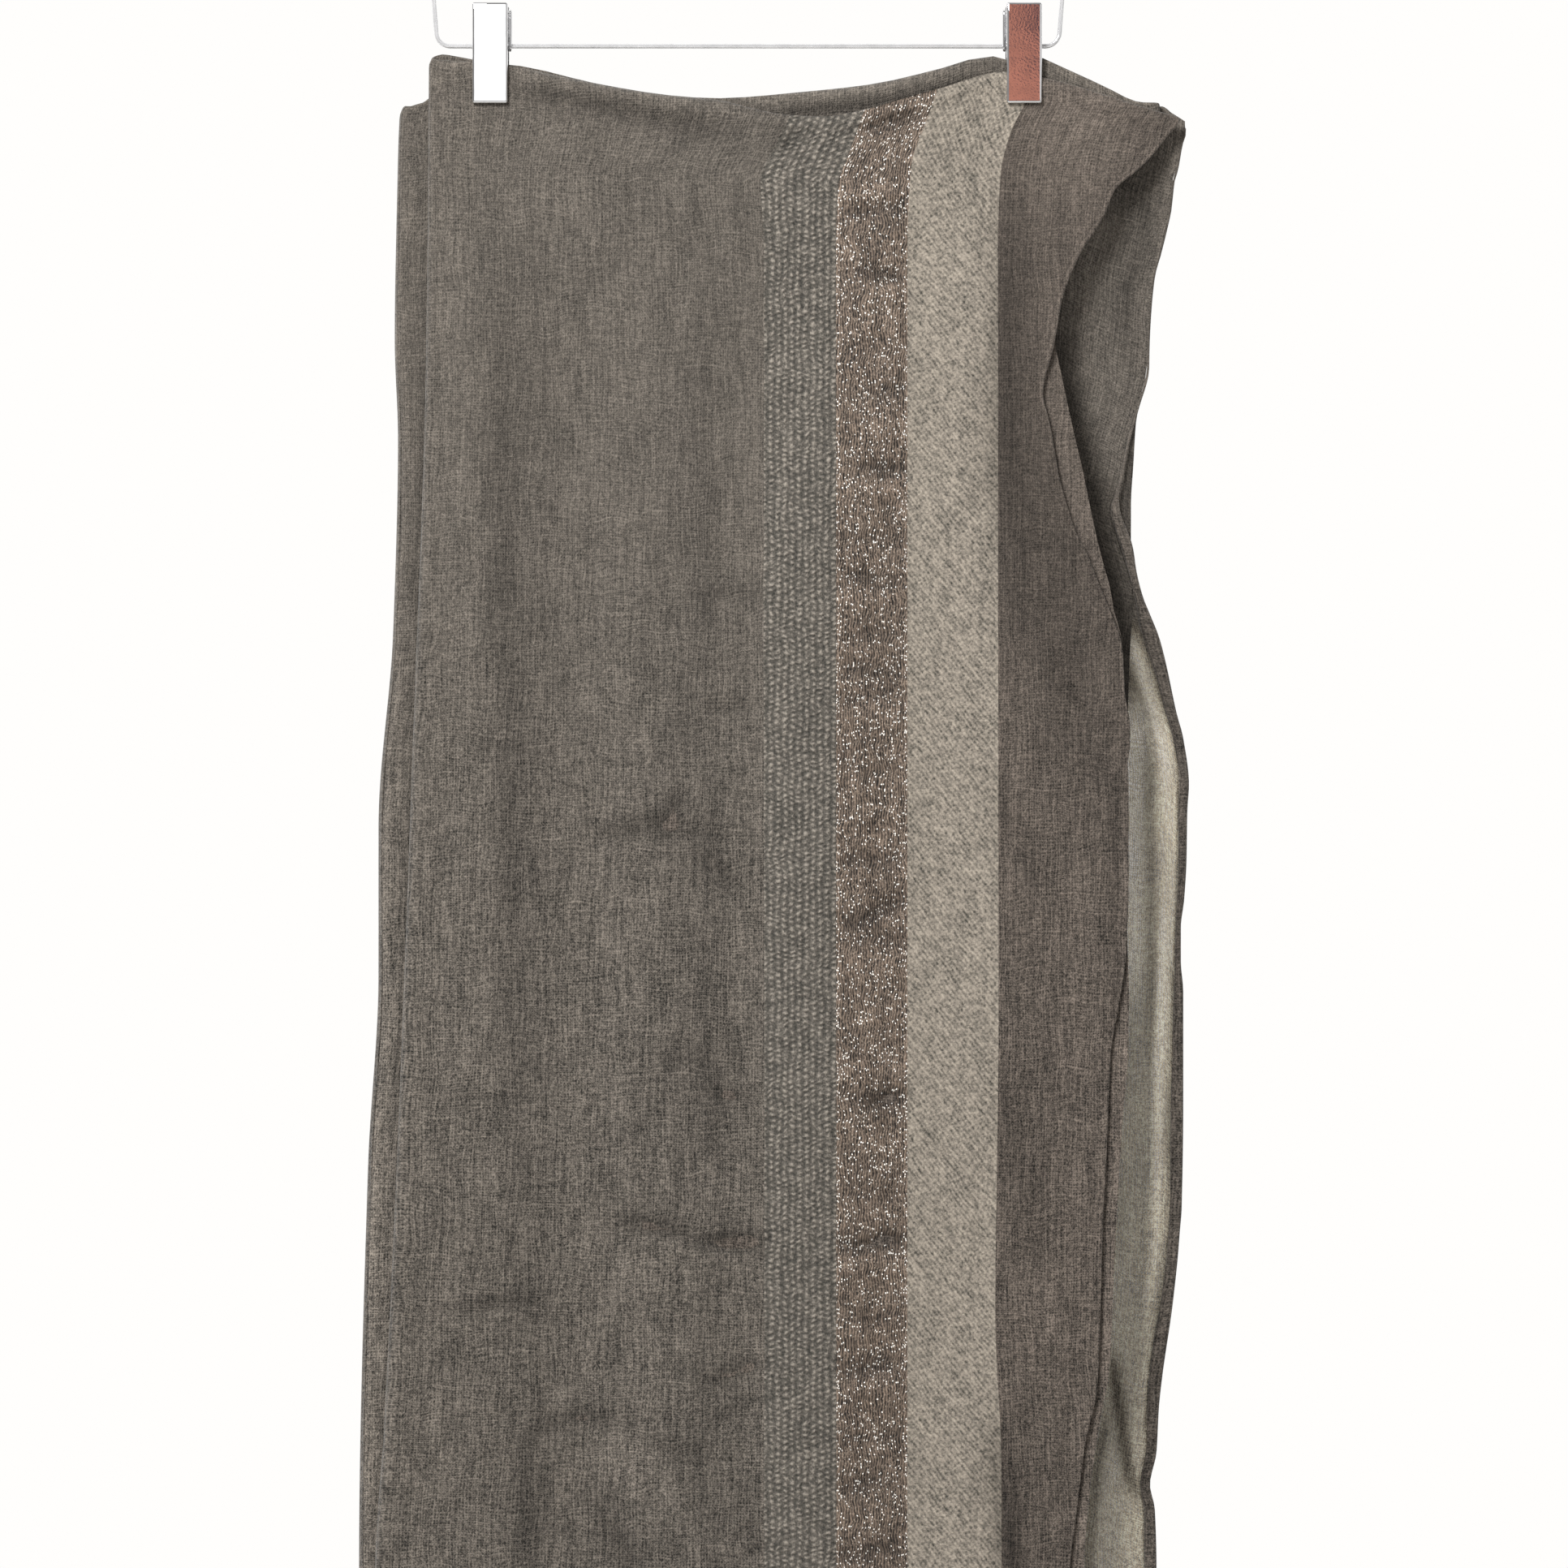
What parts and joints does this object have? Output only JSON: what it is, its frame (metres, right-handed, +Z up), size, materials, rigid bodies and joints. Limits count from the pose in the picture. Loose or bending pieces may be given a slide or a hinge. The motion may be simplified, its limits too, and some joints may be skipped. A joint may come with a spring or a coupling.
{
  "type": "shawl on clip hanger",
  "caption": "Fine wool gauze shawl with woven bands and a metal yarn band, folded and hung by clips from a thin wire hanger.",
  "frame": {"origin": "the inside top of the hook, where a rail carries the hanger", "axes": "+Z up, +X along the hanger's bar to the right seen from the front, the front faces -Y"},
  "size_m": [0.4087, 0.0563, 1.1378],
  "materials": {
    "front_field": "matte plain gauze",
    "front_basket_band": "matte basket weave",
    "front_metallic_band": "puckered weave with metal yarn",
    "front_light_band": "matte diagonal twill",
    "front_edge_strip": "matte plain gauze",
    "second_stretch": "matte plain gauze",
    "third_stretch": "matte plain gauze",
    "back_stretch": "matte plain gauze, sheer at its free edge",
    "chrome": "polished"
  },
  "bodies": {
    "root": {"front_field": "front_field", "front_basket_band": "front_basket_band", "front_metallic_band": "front_metallic_band", "front_light_band": "front_light_band", "front_edge_strip": "front_edge_strip", "second_stretch": "second_stretch", "third_stretch": "third_stretch", "back_stretch": "back_stretch", "hanger_bar": "chrome", "hanger_left_side": "chrome", "hanger_right_side": "chrome", "hanger_left_shoulder": "chrome", "hanger_right_shoulder": "chrome", "hanger_collar": "chrome", "hanger_hook": "chrome", "left_clip_front_jaw": "chrome", "left_clip_back_jaw": "chrome", "left_clip_spring": "chrome", "left_clip_ring": "chrome", "right_clip_front_jaw": "chrome", "right_clip_back_jaw": "chrome", "right_clip_spring": "chrome", "right_clip_ring": "chrome"}
  },
  "joints": []
}
